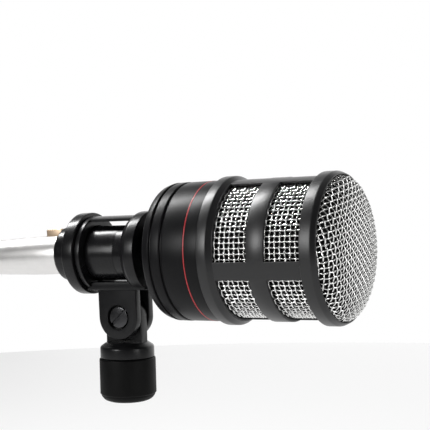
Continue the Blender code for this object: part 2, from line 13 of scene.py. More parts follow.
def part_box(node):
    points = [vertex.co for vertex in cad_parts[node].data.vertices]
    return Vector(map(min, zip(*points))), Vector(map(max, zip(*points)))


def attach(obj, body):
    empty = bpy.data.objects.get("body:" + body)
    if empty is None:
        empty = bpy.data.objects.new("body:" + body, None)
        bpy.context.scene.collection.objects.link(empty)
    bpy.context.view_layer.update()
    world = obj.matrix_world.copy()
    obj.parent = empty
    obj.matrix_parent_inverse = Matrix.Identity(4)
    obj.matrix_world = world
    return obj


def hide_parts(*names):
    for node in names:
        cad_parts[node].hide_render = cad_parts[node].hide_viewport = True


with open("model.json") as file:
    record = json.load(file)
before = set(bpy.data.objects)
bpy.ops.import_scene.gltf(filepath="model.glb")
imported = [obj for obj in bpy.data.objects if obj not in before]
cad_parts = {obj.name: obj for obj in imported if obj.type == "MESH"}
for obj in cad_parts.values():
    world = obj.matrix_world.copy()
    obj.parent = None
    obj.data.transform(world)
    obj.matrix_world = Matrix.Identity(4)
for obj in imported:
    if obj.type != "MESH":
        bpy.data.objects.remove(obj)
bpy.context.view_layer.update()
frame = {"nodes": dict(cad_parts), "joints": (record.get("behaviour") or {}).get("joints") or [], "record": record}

RECORD = frame["record"]
BODY_OF = {node: body for body, nodes in RECORD["behaviour"]["bodies"].items() for node in nodes}
SLOT_OF = {part["node"]: part["material_slot"] for part in RECORD["subparts"]}
JOINT = {joint["name"]: joint for joint in frame["joints"]}

MM = 0.001
PLUG_X = -24.5  # middle of the plug's nose, on the microphone's axis


# Camera and frames


def middle(node):
    low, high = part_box(node)
    return (low + high) / 2


def frame_at(origin, up):
    """A frame in metres that is drawn in millimetres, with Y kept and Z along up."""
    z = Vector(up).normalized()
    y = Vector((0, 1, 0))
    turn = Matrix((y.cross(z), y, z)).transposed()
    return Matrix.Translation(origin) @ turn.to_4x4() @ Matrix.Scale(MM, 4)


def microphone_frame():
    """Origin on the microphone's axis, straight above the tilt pivot."""
    along = -Vector(JOINT["plug_pull"]["axis"])
    pivot = Vector(JOINT["swivel_tilt"]["pos_m"])
    on_axis = middle("retaining_ring")
    origin = on_axis + along * (pivot - on_axis).dot(along)
    return frame_at(origin, along.cross(Vector((0, 1, 0)))), (origin - pivot).length / MM


MIC, PIVOT_DROP = microphone_frame()
PLUG = frame_at(MIC @ Vector((PLUG_X, 0, 0)), -Vector(JOINT["latch_press"]["axis"]))
STAND = Matrix.Scale(MM, 4)
PIVOT_Z = JOINT["swivel_tilt"]["pos_m"][2] / MM


def add_camera():
    """A long lens a little above the microphone's axis, off to its near side."""
    azimuth, elevation, roll = (math.radians(angle) for angle in (28.17, 1.47, -1.5))
    target, distance = Vector((0.0499, 0, 0.0887)), 0.533
    back = Vector((math.sin(azimuth) * math.cos(elevation),
                   -math.cos(azimuth) * math.cos(elevation), math.sin(elevation)))
    right = Vector((math.cos(azimuth), math.sin(azimuth), 0))
    up = back.cross(right)
    across = right * math.cos(roll) + up * math.sin(roll)
    upward = up * math.cos(roll) - right * math.sin(roll)
    turn = Matrix((across, upward, back)).transposed().to_4x4()
    clear_selection()
    bpy.ops.object.camera_add()
    camera = bpy.context.object
    camera.matrix_world = Matrix.Translation(target + back * distance) @ turn
    camera.data.lens = 96.8
    camera.data.clip_start = 0.01
    bpy.context.scene.camera = camera


# Modelling


def clear_selection():
    if bpy.context.mode != "OBJECT":
        bpy.ops.object.mode_set(mode="OBJECT")
    bpy.ops.object.select_all(action="DESELECT")


def edit(piece):
    clear_selection()
    piece.select_set(True)
    bpy.context.view_layer.objects.active = piece
    bpy.ops.object.mode_set(mode="EDIT")
    bpy.ops.mesh.select_mode(type="VERT")


def pick(piece, wanted, kind="verts"):
    """In edit mode, selects the vertices, edges or faces whose middle is wanted."""
    bpy.ops.mesh.select_mode(type={"verts": "VERT", "edges": "EDGE", "faces": "FACE"}[kind])
    bpy.ops.mesh.select_all(action="DESELECT")
    mesh = bmesh.from_edit_mesh(piece.data)
    for item in getattr(mesh, kind):
        if kind == "verts":
            place = item.co
        else:
            place = sum((vert.co for vert in item.verts), Vector()) / len(item.verts)
        if wanted(place, item):
            item.select = True
    mesh.select_flush_mode()
    bmesh.update_edit_mesh(piece.data)


def added(name):
    piece = bpy.context.object
    piece.name = name
    return piece


def eased(outline, ease=0.25, steps=3):
    """The outline with each corner rounded off; a point's third number is its own ease."""
    points = []
    for before, corner, after in zip(outline[-1:] + outline[:-1], outline, outline[1:] + outline[:1]):
        here = Vector(corner[:2])
        one, two = Vector(before[:2]) - here, Vector(after[:2]) - here
        reach = corner[2] if len(corner) > 2 else ease
        reach = min(reach, 0.48 * one.length, 0.48 * two.length)
        if not here.y or reach < 0.01 or one.angle(two) > 3.05:
            points.append(here)
            continue
        first, last = here + one.normalized() * reach, here + two.normalized() * reach
        for step in range(steps + 1):
            t = step / steps
            points.append(first * (1 - t) ** 2 + here * 2 * t * (1 - t) + last * t * t)
    return points


def turned(name, outline, axis="X", stretches=((360, 128),), first=(0, 0, 1)):
    """Turns an outline of (along, radius) round an axis, in stretches of (degrees, steps)."""
    along = Vector([float(axis == letter) for letter in "XYZ"])
    out = Vector((1, 0, 0)) if axis == "Z" else Vector(first)
    places = [along * point[0] + out * point[1] for point in outline]
    if outline[0][1] or outline[-1][1]:
        places.append(places[0])
    clear_selection()
    bpy.ops.mesh.primitive_plane_add()
    piece = added(name)
    edit(piece)
    bpy.ops.mesh.merge(type="CENTER")
    bpy.ops.transform.translate(value=places[0])
    for here, there in zip(places, places[1:]):
        bpy.ops.mesh.extrude_region_move(TRANSFORM_OT_translate={"value": there - here})
    bpy.ops.mesh.select_all(action="SELECT")
    for angle, steps in stretches:
        bpy.ops.mesh.spin(steps=steps, angle=math.radians(angle), center=(0, 0, 0), axis=along)
    close_up()
    return piece


def close_up():
    """Merges a piece's seams and poles, turns its faces outwards and leaves edit mode."""
    bpy.ops.mesh.select_all(action="SELECT")
    bpy.ops.mesh.remove_doubles(threshold=2e-3)
    bpy.ops.mesh.normals_make_consistent(inside=False)
    bpy.ops.object.mode_set(mode="OBJECT")


def block(name, low, high, ease=0.3):
    """A cube drawn out to its corners, with its edges rounded."""
    low, high = Vector(low), Vector(high)
    clear_selection()
    bpy.ops.mesh.primitive_cube_add(size=1, location=(low + high) / 2, scale=high - low)
    bpy.ops.object.transform_apply()
    piece = added(name)
    if ease:
        edit(piece)
        bpy.ops.mesh.select_all(action="SELECT")
        bpy.ops.mesh.bevel(offset=ease, segments=3)
        close_up()
    return piece


def round_tab(name, centre, radius, half, reach, ease=0.4):
    """A disc across Y whose upper or lower half is drawn straight out to reach."""
    clear_selection()
    bpy.ops.mesh.primitive_cylinder_add(
        vertices=64, radius=radius, depth=2 * half, location=centre, rotation=(math.pi / 2, 0, 0)
    )
    bpy.ops.object.transform_apply()
    piece = added(name)
    edit(piece)
    upward = reach > centre[2]
    pick(piece, lambda place, _: (place.z > centre[2] + 0.01) == upward
         and abs(place.z - centre[2]) > 0.01)
    bpy.ops.transform.resize(value=(1, 1, 0), center_override=(centre[0], centre[1], reach))
    pick(piece, lambda place, edge: abs(edge.verts[0].co.y - edge.verts[1].co.y) < 0.01
         and abs(place.z - reach) > 0.01, "edges")
    bpy.ops.mesh.bevel(offset=ease, segments=3)
    bpy.ops.object.mode_set(mode="OBJECT")
    return piece


def joined(piece, other, operation="UNION"):
    """Fills or cuts a piece with another, which is used up."""
    clear_selection()
    piece.select_set(True)
    bpy.context.view_layer.objects.active = piece
    bpy.ops.object.modifier_add(type="BOOLEAN")
    modifier = piece.modifiers[-1]
    modifier.operation = operation
    modifier.object = other
    bpy.ops.object.modifier_apply(modifier=modifier.name)
    bpy.data.objects.remove(other)
    return piece


def finished(piece, place, finish, *nodes, sharp=32):
    """Sets a piece in place with its finish, on the body of the CAD nodes it stands for."""
    clear_selection()
    piece.select_set(True)
    bpy.context.view_layer.objects.active = piece
    piece.matrix_world = place
    bpy.ops.object.transform_apply()
    bpy.ops.object.shade_smooth_by_angle(angle=math.radians(sharp))
    piece.data.materials.clear()
    piece.data.materials.append(finish)
    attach(piece, BODY_OF[nodes[0]])
    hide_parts(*nodes)


# Shader maths


class Value:
    """A shader socket that Python's operators can be used on."""

    def __init__(self, finish, socket):
        self.finish, self.socket = finish, socket

    def maths(self, operation, *others):
        return self.finish.node("Math", {"operation": operation}, dict(enumerate(others)))

    def __add__(self, other):
        return self.maths("ADD", self, other)

    def __mul__(self, other):
        return self.maths("MULTIPLY", self, other)

    __radd__ = __add__

    def above(self, low, high):
        """0 below low, 1 above high, and a smooth slope between."""
        sockets = {0: self, 1: low, 2: high}
        return self.finish.node("MapRange", {"interpolation_type": "SMOOTHSTEP"}, sockets)


class Finish:
    """A material whose nodes are added one call at a time."""

    def __init__(self, name, colour, roughness, metallic=0.0, **constants):
        self.material = bpy.data.materials.new(name)
        self.material.use_nodes = True
        self.tree = self.material.node_tree
        self.shader = self.tree.nodes["Principled BSDF"]
        self.feed(Base_Color=(*colour, 1), Roughness=roughness, Metallic=metallic, **constants)

    def feed(self, **sockets):
        for name, value in sockets.items():
            self.connect(self.shader.inputs[name.replace("_", " ")], value)

    def connect(self, socket, value):
        if isinstance(value, Value):
            self.tree.links.new(value.socket, socket)
        else:
            socket.default_value = value

    def node(self, kind, settings=None, sockets=None, output=0):
        """A node of a kind: its settings first, then what goes into its sockets."""
        made = self.tree.nodes.new(f"ShaderNode{kind}")
        for name, value in (settings or {}).items():
            setattr(made, name, value)
        for name, value in (sockets or {}).items():
            self.connect(made.inputs[name], value)
        return Value(self, made.outputs[output])

    def coordinates(self, place=None, stretch=(1, 1, 1)):
        """Object coordinates in millimetres, in a frame of the object, stretched."""
        here = self.node("TexCoord", output="Object")
        place = place or STAND
        sockets = {
            "Vector": here,
            "Location": place.translation,
            "Rotation": place.to_euler(),
            "Scale": [MM / value for value in stretch],
        }
        return self.node("Mapping", {"vector_type": "TEXTURE"}, sockets)

    def noise(self, coordinates, size, detail=2.0, roughness=0.5):
        """Noise with features of a size in millimetres."""
        sockets = {"Vector": coordinates, "Scale": 1 / size, "Detail": detail}
        sockets["Roughness"] = roughness
        return self.node("TexNoise", None, sockets, "Fac")

    def mix(self, factor, one, two):
        sockets = {0: factor}
        for index, colour in ((6, one), (7, two)):
            sockets[index] = colour if isinstance(colour, Value) else (*colour, 1)
        return self.node("Mix", {"data_type": "RGBA"}, sockets, 2)

    def bump(self, height, depth):
        """Relief of a depth in millimetres."""
        sockets = {"Height": height, "Distance": depth * MM}
        self.feed(Normal=self.node("Bump", None, sockets))


# Finishes


def enamel(name, place, gleam):
    """Satin black baked paint: a fine orange peel, faint handling marks and a little dust."""
    finish = Finish(name, (0.006, 0.006, 0.007), 0.36, Specular_IOR_Level=gleam)
    here = finish.coordinates(place)
    peel = finish.noise(here, 0.45, 3)
    cloud = finish.noise(here, 14, 4)
    dust = finish.noise(here, 0.22, 1).above(0.72, 0.78)
    finish.feed(
        Base_Color=finish.mix(cloud * 0.4 + dust * 0.6, (0.003, 0.003, 0.0035), (0.010, 0.010, 0.011)),
        Roughness=0.29 + cloud * 0.10 + peel * 0.05 + dust * 0.2,
    )
    finish.bump(peel, 0.006)
    return finish.material


def moulded(name, place, gloss=0.21):
    """Black moulded plastic, semi-gloss, with flow clouds and fine scuffs."""
    finish = Finish(name, (0.006, 0.006, 0.007), gloss, Specular_IOR_Level=0.24)
    here = finish.coordinates(place)
    cloud = finish.noise(here, 9, 3)
    fine = finish.noise(here, 0.3, 3)
    scuffs = finish.noise(finish.coordinates(place, (7, 0.35, 0.5)), 1, 2).above(0.66, 0.80)
    finish.feed(
        Base_Color=finish.mix(scuffs * 0.5 + cloud * 0.3, (0.003, 0.003, 0.0035), (0.018, 0.018, 0.019)),
        Roughness=gloss + cloud * 0.10 + scuffs * 0.22,
    )
    finish.bump(fine + scuffs * 0.6, 0.004)
    return finish.material


def matt_moulded(name, place):
    """Black plastic from an etched mould: dull, with a fine even grain."""
    finish = Finish(name, (0.005, 0.005, 0.005), 0.5, Specular_IOR_Level=0.08)
    here = finish.coordinates(place)
    grain = finish.noise(here, 0.16, 2)
    cloud = finish.noise(here, 6, 4)
    finish.feed(
        Base_Color=finish.mix(cloud, (0.002, 0.002, 0.002), (0.005, 0.005, 0.005)),
        Roughness=0.42 + cloud * 0.16,
    )
    finish.bump(grain, 0.02)
    return finish.material


def bare_metal(name, place, colour, roughness, stretch=(1, 1, 1), size=0.3, depth=0.003):
    """Plated or machined metal, with marks stretched along the way it was worked."""
    finish = Finish(name, colour, roughness, 1.0)
    marks = finish.noise(finish.coordinates(place, stretch), size, 4, 0.6)
    cloud = finish.noise(finish.coordinates(place), 5, 3)
    dull = tuple(value * 0.86 for value in colour)
    finish.feed(
        Base_Color=finish.mix(cloud, dull, colour),
        Roughness=(roughness - 0.08) + marks * 0.12 + cloud * 0.08,
    )
    finish.bump(marks, depth)
    return finish.material


def open_foam(name, place):
    """Black open-cell foam: pits a third of a millimetre across, with painted shade at the bottom of each pit."""
    finish = Finish(name, (0.003, 0.003, 0.003), 0.95, Specular_IOR_Level=0.1)
    here = finish.coordinates(place)
    cells = finish.node("TexVoronoi", None, {"Vector": here, "Scale": 2.4}, "Distance")
    # painted shade: the colour follows the pit depth, darkest at the bottom of each pit and lighter on the cell
    # walls
    finish.feed(Base_Color=finish.mix(cells, (0.001, 0.001, 0.001), (0.009, 0.009, 0.009)))
    finish.bump(cells, 0.25)
    return finish.material


def plain(name, place, colour, roughness, size=0.5, depth=0.01, spread=0.25):
    """A plain material with a fine surface and a little variation in its colour."""
    finish = Finish(name, colour, roughness)
    here = finish.coordinates(place)
    fine = finish.noise(here, size, 3)
    cloud = finish.noise(here, size * 12, 3)
    deep = tuple(value * (1 - spread) for value in colour)
    finish.feed(
        Base_Color=finish.mix(cloud * 0.7 + fine * 0.3, deep, colour),
        Roughness=(roughness - 0.06) + cloud * 0.12,
    )
    finish.bump(fine, depth)
    return finish.material


def winding(name, place):
    """Enamelled copper wire in even turns, with painted shade in the grooves between turns."""
    finish = Finish(name, (0.62, 0.27, 0.13), 0.3, 1.0)
    sockets = {"Vector": finish.coordinates(place), "Scale": 1.6, "Distortion": 0.3}
    turns = finish.node("TexWave", {"bands_direction": "X"}, sockets, "Fac")
    # painted shade: the colour follows the turns' relief, dark in the grooves between turns and copper-coloured on
    # their crests
    finish.feed(Base_Color=finish.mix(turns, (0.30, 0.10, 0.05), (0.72, 0.34, 0.17)))
    finish.bump(turns, 0.1)
    return finish.material


FINISH = {
    "basket_paint": enamel("basket_enamel", MIC, 0.48),
    "body_paint": enamel("body_enamel", MIC, 0.12),
    "wire_mesh": bare_metal("bright_wire", MIC, (0.88, 0.88, 0.87), 0.24, size=0.25),
    "foam": open_foam("open_foam", MIC),
    "accent_red": plain("red_enamel", MIC, (0.44, 0.022, 0.028), 0.38, 0.3, 0.003),
    "neck_plastic": moulded("neck_moulding", MIC),
    "swivel_plastic": moulded("swivel_moulding", MIC, 0.24),
    "collar_plastic": matt_moulded("collar_moulding", STAND),
    "nickel": bare_metal("satin_nickel", PLUG, (0.74, 0.73, 0.72), 0.36, (0.3, 4, 4), 0.2, 0.002),
    "latch_metal": bare_metal("latch_nickel", PLUG, (0.50, 0.38, 0.27), 0.42, (0.4, 3, 1)),
    "insulator": plain("insulator", PLUG, (0.02, 0.02, 0.02), 0.5),
    "brass": bare_metal("turned_brass", STAND, (0.72, 0.53, 0.26), 0.32, (4, 4, 0.3), 0.2),
    "dark_steel": bare_metal("blackened_steel", MIC, (0.07, 0.07, 0.073), 0.24, (3, 1, 0.6)),
    "aluminium": bare_metal("machined_aluminium", MIC, (0.78, 0.79, 0.80), 0.36, (0.3, 4, 4), 0.2),
    "magnet": bare_metal("bright_plate", MIC, (0.60, 0.60, 0.61), 0.2, size=0.8),
    "rubber": plain("black_rubber", PLUG, (0.014, 0.014, 0.014), 0.78, 0.35, 0.02),
    "copper": winding("copper_winding", MIC),
    "board": plain("glass_fibre_board", MIC, (0.02, 0.17, 0.08), 0.45, 0.4, 0.01, 0.4),
    "washer_fibre": plain("fibre_washer", MIC, (0.03, 0.03, 0.03), 0.7),
    "wire_skin": plain("wire_skin", MIC, (0.50, 0.05, 0.04), 0.45),
}


def dress_nodes():
    """Every CAD node that stays gets its own slot's finish."""
    for node, slot in SLOT_OF.items():
        part = frame["nodes"][node]
        if part.material_slots:
            part.material_slots[0].material = FINISH[slot]
        else:
            part.data.materials.append(FINISH[slot])


# Head


RIB, FIRST_RIB = 14.5, -13.5  # degrees: the width of a rib, and the middle of the first one
WINDOW_ROWS = ((65.7, 81.8), (90.2, 106.7))
CAGE_IN, CAGE_OUT = 31.0, 32.3


def make_basket():
    """Turned cage with two rows of windows, cut through between the ribs and then eased."""
    cuts = [edge for row in WINDOW_ROWS for edge in row]
    outline = [
        (53.5, 27.6), (53.5, 29.2), (58.6, 29.2), (58.6, 34.0, 0.5), (63.3, 34.0, 0.5), (65.4, CAGE_OUT, 0.2),
        *((cut, CAGE_OUT) for cut in cuts), (108.6, CAGE_OUT), (108.6, 31.6), (111.4, 31.6),
        (111.4, 30.4), (107.6, 30.4), (107.6, CAGE_IN), *((cut, CAGE_IN) for cut in cuts[::-1]),
        (62.0, CAGE_IN), (62.0, 27.6),
    ]
    window = 90 - RIB
    start = math.radians(FIRST_RIB - RIB / 2)
    first = (0, -math.cos(start), math.sin(start))
    piece = turned("basket", eased(outline), stretches=((RIB, 8), (window, 32)) * 4, first=first)

    def in_window(place, _):
        turn = (math.degrees(math.atan2(place.z, -place.y)) - FIRST_RIB + RIB / 2) % 90
        return turn > RIB and any(low < place.x < high for low, high in WINDOW_ROWS)

    edit(piece)
    pick(piece, in_window, "faces")
    bpy.ops.mesh.delete(type="FACE")
    half_way = (CAGE_IN + CAGE_OUT) / 2
    pick(piece, lambda place, edge: edge.is_boundary and place.yz.length > half_way, "edges")
    bpy.ops.mesh.extrude_edges_move()
    inward = CAGE_IN / CAGE_OUT
    bpy.ops.transform.resize(value=(1, inward, inward), center_override=(0, 0, 0))
    bpy.ops.mesh.select_all(action="SELECT")
    bpy.ops.mesh.remove_doubles(threshold=2e-3)
    pick(piece, is_window_edge, "edges")
    bpy.ops.mesh.bevel(offset=0.22, segments=2)
    close_up()
    finished(piece, MIC, FINISH["basket_paint"], "basket_cage")


def is_window_edge(place, edge):
    """A right-angled edge on the windowed stretch of the cage's two faces."""
    inside = any(low - 0.1 < place.x < high + 0.1 for low, high in WINDOW_ROWS)
    return inside and len(edge.link_faces) == 2 and edge.calc_face_angle(0) > 1.0


def make_bezel():
    outline = [
        (108.9, 31.95), (108.9, 32.6), (107.2, 32.6), (107.2, 34.0, 0.4), (112.3, 34.0, 0.5),
        (114.5, 32.95, 0.3), (114.6, 32.35, 0.15), (111.7, 32.35), (111.7, 31.95),
    ]
    piece = turned("bezel", eased(outline, 0.2, 4))
    finished(piece, MIC, FINISH["basket_paint"], "front_bezel")


def make_rear_body():
    """Shouldered shell with two turned grooves and the seat of the red ring."""
    outline = [
        (30.6, 27.4), (28.4, 27.4), (28.4, 29.2, 0.5), (29.6, 31.2, 1.6), (33.3, 32.3, 1.7),
        (33.5, 31.3, 0.2), (34.2, 31.3, 0.2), (34.5, 32.2, 0.9), (38.8, 32.3, 1.6),
        (39.0, 31.3, 0.2), (39.7, 31.3, 0.2), (40.1, 32.2, 1.0), (51.0, 32.3, 0.15),
        (51.0, 31.4, 0), (51.8, 31.4, 0), (51.8, 32.3, 0.15), (58.2, 32.3, 0.3), (58.2, 29.5),
        (30.6, 29.5),
    ]
    finished(turned("rear_body", eased(outline, 0.3, 4)), MIC, FINISH["body_paint"], "body_shell")
    ring = [(51.12, 31.55), (51.12, 32.36), (51.68, 32.36), (51.68, 31.55)]
    finished(turned("red_ring", eased(ring, 0.15)), MIC, FINISH["accent_red"], "accent_ring")
    plate = [(29.4, 27.1), (28.9, 24, 1), (27.0, 17.0, 1), (26.9, 13.5), (31.0, 13.5), (31.0, 27.1)]
    finished(turned("rear_plate", eased(plate)), MIC, FINISH["body_paint"], "back_plate")


# Woven wire


PITCH, SIDE_WIRE_R, DOME_WIRE_R = 2.4, 0.315, 0.31


def wires(name, count, steps, place, thick, closed=False):
    """Parallel wires: the lines of a grid one way, with each point put by place(wire, step)."""
    clear_selection()
    bpy.ops.mesh.primitive_grid_add(x_subdivisions=steps, y_subdivisions=count - 1, size=2)
    piece = added(name)
    edit(piece)
    pick(piece, lambda _, edge: abs(edge.verts[0].co.y - edge.verts[1].co.y) > 1e-6, "edges")
    bpy.ops.mesh.delete(type="EDGE_FACE")
    mesh = bmesh.from_edit_mesh(piece.data)
    outside = []
    for vert in mesh.verts:
        step = round((vert.co.x + 1) / 2 * steps)
        wire = round((vert.co.y + 1) / 2 * (count - 1))
        put = place(wire, step)
        if put is None:
            outside.append(vert)
        else:
            vert.co = put
    bmesh.ops.delete(mesh, geom=outside, context="VERTS")
    bmesh.update_edit_mesh(piece.data)
    if closed:
        bpy.ops.mesh.select_all(action="SELECT")
        bpy.ops.mesh.remove_doubles(threshold=1e-3)
    bpy.ops.object.mode_set(mode="OBJECT")
    bpy.ops.object.convert(target="CURVE")
    piece.data.bevel_depth = thick
    piece.data.bevel_resolution = 1
    piece.data.use_fill_caps = True
    bpy.ops.object.convert(target="MESH")
    return piece


def merged(name, *pieces):
    clear_selection()
    for piece in pieces:
        piece.select_set(True)
    bpy.context.view_layer.objects.active = pieces[0]
    bpy.ops.object.join()
    pieces[0].name = name
    return pieces[0]


def crimp(depth, wire, crossing):
    """How far a wire stands out of the weave: over at even crossings, under at odd ones."""
    return depth * math.cos(math.pi * (wire + crossing))


SIDE_R, SIDE_REAR = 30.0, 63.2
AROUND, HOOPS, FINE = 78, 19, 4  # wires round the side, hoops along it, points to a pitch


def side_point(along, turn, radius):
    angle = math.tau * turn / AROUND
    return Vector((SIDE_REAR + along * PITCH, -radius * math.cos(angle), radius * math.sin(angle)))


def make_side_weave():
    def lengthwise(wire, step):
        along = step / FINE - 0.4
        return side_point(along, wire, SIDE_R + crimp(0.25, wire, along))

    def hoop(wire, step):
        return side_point(wire, step / FINE, SIDE_R - crimp(0.38, wire, step / FINE))

    straight = wires("side_lengthwise", AROUND, int((HOOPS - 0.2) * FINE), lengthwise, SIDE_WIRE_R)
    hoops = wires("side_hoops", HOOPS, AROUND * FINE, hoop, SIDE_WIRE_R, closed=True)
    piece = merged("side_weave", straight, hoops)
    finished(piece, MIC, FINISH["wire_mesh"], "side_mesh", sharp=60)


DOME_R, DOME_START, DOME_HEIGHT, DOME_POWER, DOME_TURN = 31.5, 113.6, 8.2, 2.4, -8
DOME_CRIMP = 0.34


def dome_profile():
    """Points down the dome from its top, as (distance gone, along, radius, normal)."""
    places = []
    for step in range(181):
        radius = DOME_R * math.sin(math.pi / 2 * step / 180)
        share = 1 - (radius / DOME_R) ** DOME_POWER
        along = DOME_START + DOME_HEIGHT * max(share, 0) ** (1 / DOME_POWER)
        places.append(Vector((along, radius)))
    places.append(Vector((112.0, DOME_R)))
    rows, gone = [], 0.0
    for here, there in zip(places, places[1:]):
        run = there - here
        rows.append((gone, here, Vector((run.y, -run.x)).normalized()))
        gone += run.length
    rows.append((gone, places[-1], Vector((0, 1))))
    return rows


def make_dome_weave():
    rows = dome_profile()
    reach = rows[-1][0]
    count = 2 * int(reach / PITCH) + 1

    def put(across, along, lift):
        """A point of the flat weave, laid down over the dome and lifted off it."""
        distance = math.hypot(across, along)
        if distance > reach:
            return None
        row = max(index for index, row in enumerate(rows) if row[0] <= distance + 1e-9)
        row = min(row, len(rows) - 2)
        share = (distance - rows[row][0]) / (rows[row + 1][0] - rows[row][0])
        place = rows[row][1].lerp(rows[row + 1][1], share) + rows[row][2] * lift
        angle = math.atan2(along, across) + math.radians(DOME_TURN)
        return Vector((place.x, -place.y * math.cos(angle), place.y * math.sin(angle)))

    half = (count - 1) / 2

    def warp(wire, step):
        along = step / FINE - half
        return put((wire - half) * PITCH, along * PITCH, crimp(DOME_CRIMP, wire, along + half))

    def weft(wire, step):
        across = step / FINE - half
        return put(across * PITCH, (wire - half) * PITCH, -crimp(DOME_CRIMP, wire, across + half))

    one = wires("dome_warp", count, (count - 1) * FINE, warp, DOME_WIRE_R)
    two = wires("dome_weft", count, (count - 1) * FINE, weft, DOME_WIRE_R)
    piece = merged("dome_weave", one, two)
    finished(piece, MIC, FINISH["wire_mesh"], "dome_mesh", sharp=60)


def make_foam():
    side = turned("side_foam", eased([(62.5, 27.0), (62.5, 28.7), (107.2, 28.7), (107.2, 27.0)]))
    front = [(107.7, 0), (107.7, 29.9), (113.0, 29.9, 2), (118.6, 24, 6), (120.2, 12, 6), (120.4, 0)]
    front = turned("dome_foam", eased(front, 0.8, 6))
    for piece, node in ((side, "foam_side"), (front, "foam_front")):
        finished(piece, MIC, FINISH["foam"], node)


# Neck, socket and plug


def make_neck():
    outline = [
        (-32.4, 11.6), (-32.4, 12.4), (-31.4, 13.2, 0.8), (1.9, 13.2, 0.05), (1.95, 13.08, 0.02),
        (2.15, 13.08, 0.02), (2.2, 13.2, 0.05), (31.4, 13.2), (31.4, 19.0), (34.0, 19.0), (34.0, 11.6),
        (-11.4, 11.6), (-11.4, 10.0), (-13.4, 10.0), (-13.4, 11.6),
    ]
    finished(turned("neck", eased(outline)), MIC, FINISH["neck_plastic"], "neck_tube")
    ring = [(-22.7, 13.5), (-22.7, 19.8, 0.8), (-16.6, 19.8, 0.6), (-16.6, 13.5)]
    ring = turned("locking_ring", eased(ring, 0.2, 4))
    finished(ring, MIC, FINISH["neck_plastic"], "retaining_ring")
    cup = [(-32.1, 8.35), (-32.1, 11.3), (-18.4, 11.3), (-18.4, 8.35)]
    finished(turned("socket_shell", eased(cup)), MIC, FINISH["nickel"], "socket_cup")


def make_plug():
    outline = [
        (5.4, 7.0), (5.4, 7.95, 0.4), (-8.4, 7.95), (-8.4, 9.7, 0.5), (-22.0, 9.7, 5), (-38.0, 9.15, 5),
        (-54.8, 8.45, 0.3), (-55.5, 7.9, 0.3), (-55.5, 7.3), (-38.0, 7.6), (-20.0, 7.6), (-10.0, 7.0),
    ]
    piece = turned("cable_plug", eased(outline, 0.2, 4))
    joined(piece, block("slot", (-18.8, -3.0, 4.0), (-8.2, 3.0, 12.0), 0.6), "DIFFERENCE")
    finished(piece, PLUG, FINISH["nickel"], "plug_barrel")
    tab = block("plug_tab", (-18.4, -2.6, 7.9), (-9.1, 2.6, 12.7), 0.5)
    for groove in range(3):
        x = -16.6 + 1.5 * groove
        joined(tab, block("groove", (x, -4, 12.35), (x + 0.7, 4, 14), 0.1), "DIFFERENCE")
    finished(tab, PLUG, FINISH["latch_metal"], "plug_latch")
    boot = [(-55.8, 3.3), (-55.8, 8.0), (-58.0, 7.9, 1)]
    for groove in range(4):
        x = -59.2 - 2.3 * groove
        radius = 7.7 - 0.45 * groove
        boot += [(x, radius, 0.3), (x - 0.2, radius - 0.7, 0.1), (x - 0.9, radius - 0.8, 0.1),
                 (x - 1.1, radius - 0.2, 0.3)]
    boot += [(-69.4, 5.7, 0.6), (-70.0, 5.4, 0.3), (-70.0, 3.3)]
    finished(turned("cable_boot", eased(boot, 0.2)), PLUG, FINISH["rubber"], "plug_boot")


def add_contacts(place, stem, outline, slot, insert, disc, hole):
    """Three contacts of the connector, and the moulded insert that holds them."""
    holder = turned(f"{stem}_holder", eased(disc))
    for number in (1, 2, 3):
        node = f"{stem}_{number}"
        _, y, z = place.inverted() @ middle(node)
        drill = turned("drill", [(-19, 0), (-19, hole), (6, hole), (6, 0)], stretches=((360, 32),))
        drill.location = (0, y, z)
        joined(holder, drill, "DIFFERENCE")
        contact = turned(f"{stem.split('_')[1]}_{number}", eased(outline, 0.08), stretches=((360, 32),))
        finished(contact, place @ Matrix.Translation((0, y, z)), FINISH[slot], node)
    finished(holder, place, FINISH["insulator"], insert)


def make_contacts():
    pin = [(-29.6, 0), (-29.6, 0.7, 0.4), (-28.8, 1.15, 0.5), (-11.8, 1.15), (-11.8, 0)]
    disc = [(-18.1, 0), (-18.1, 11.3, 0.3), (-13.8, 11.3, 0.3), (-13.8, 0)]
    add_contacts(MIC, "socket_pin", pin, "nickel", "socket_insert", disc, 1.45)
    sleeve = [(-8.4, 1.45), (-8.4, 1.85), (4.2, 1.85), (4.2, 1.45)]
    disc = [(-8.6, 0), (-8.6, 6.65, 0.3), (5.0, 6.65, 0.4), (5.0, 0)]
    add_contacts(PLUG, "plug_contact", sleeve, "brass", "plug_insert", disc, 2.15)


# Swivel and stand mount


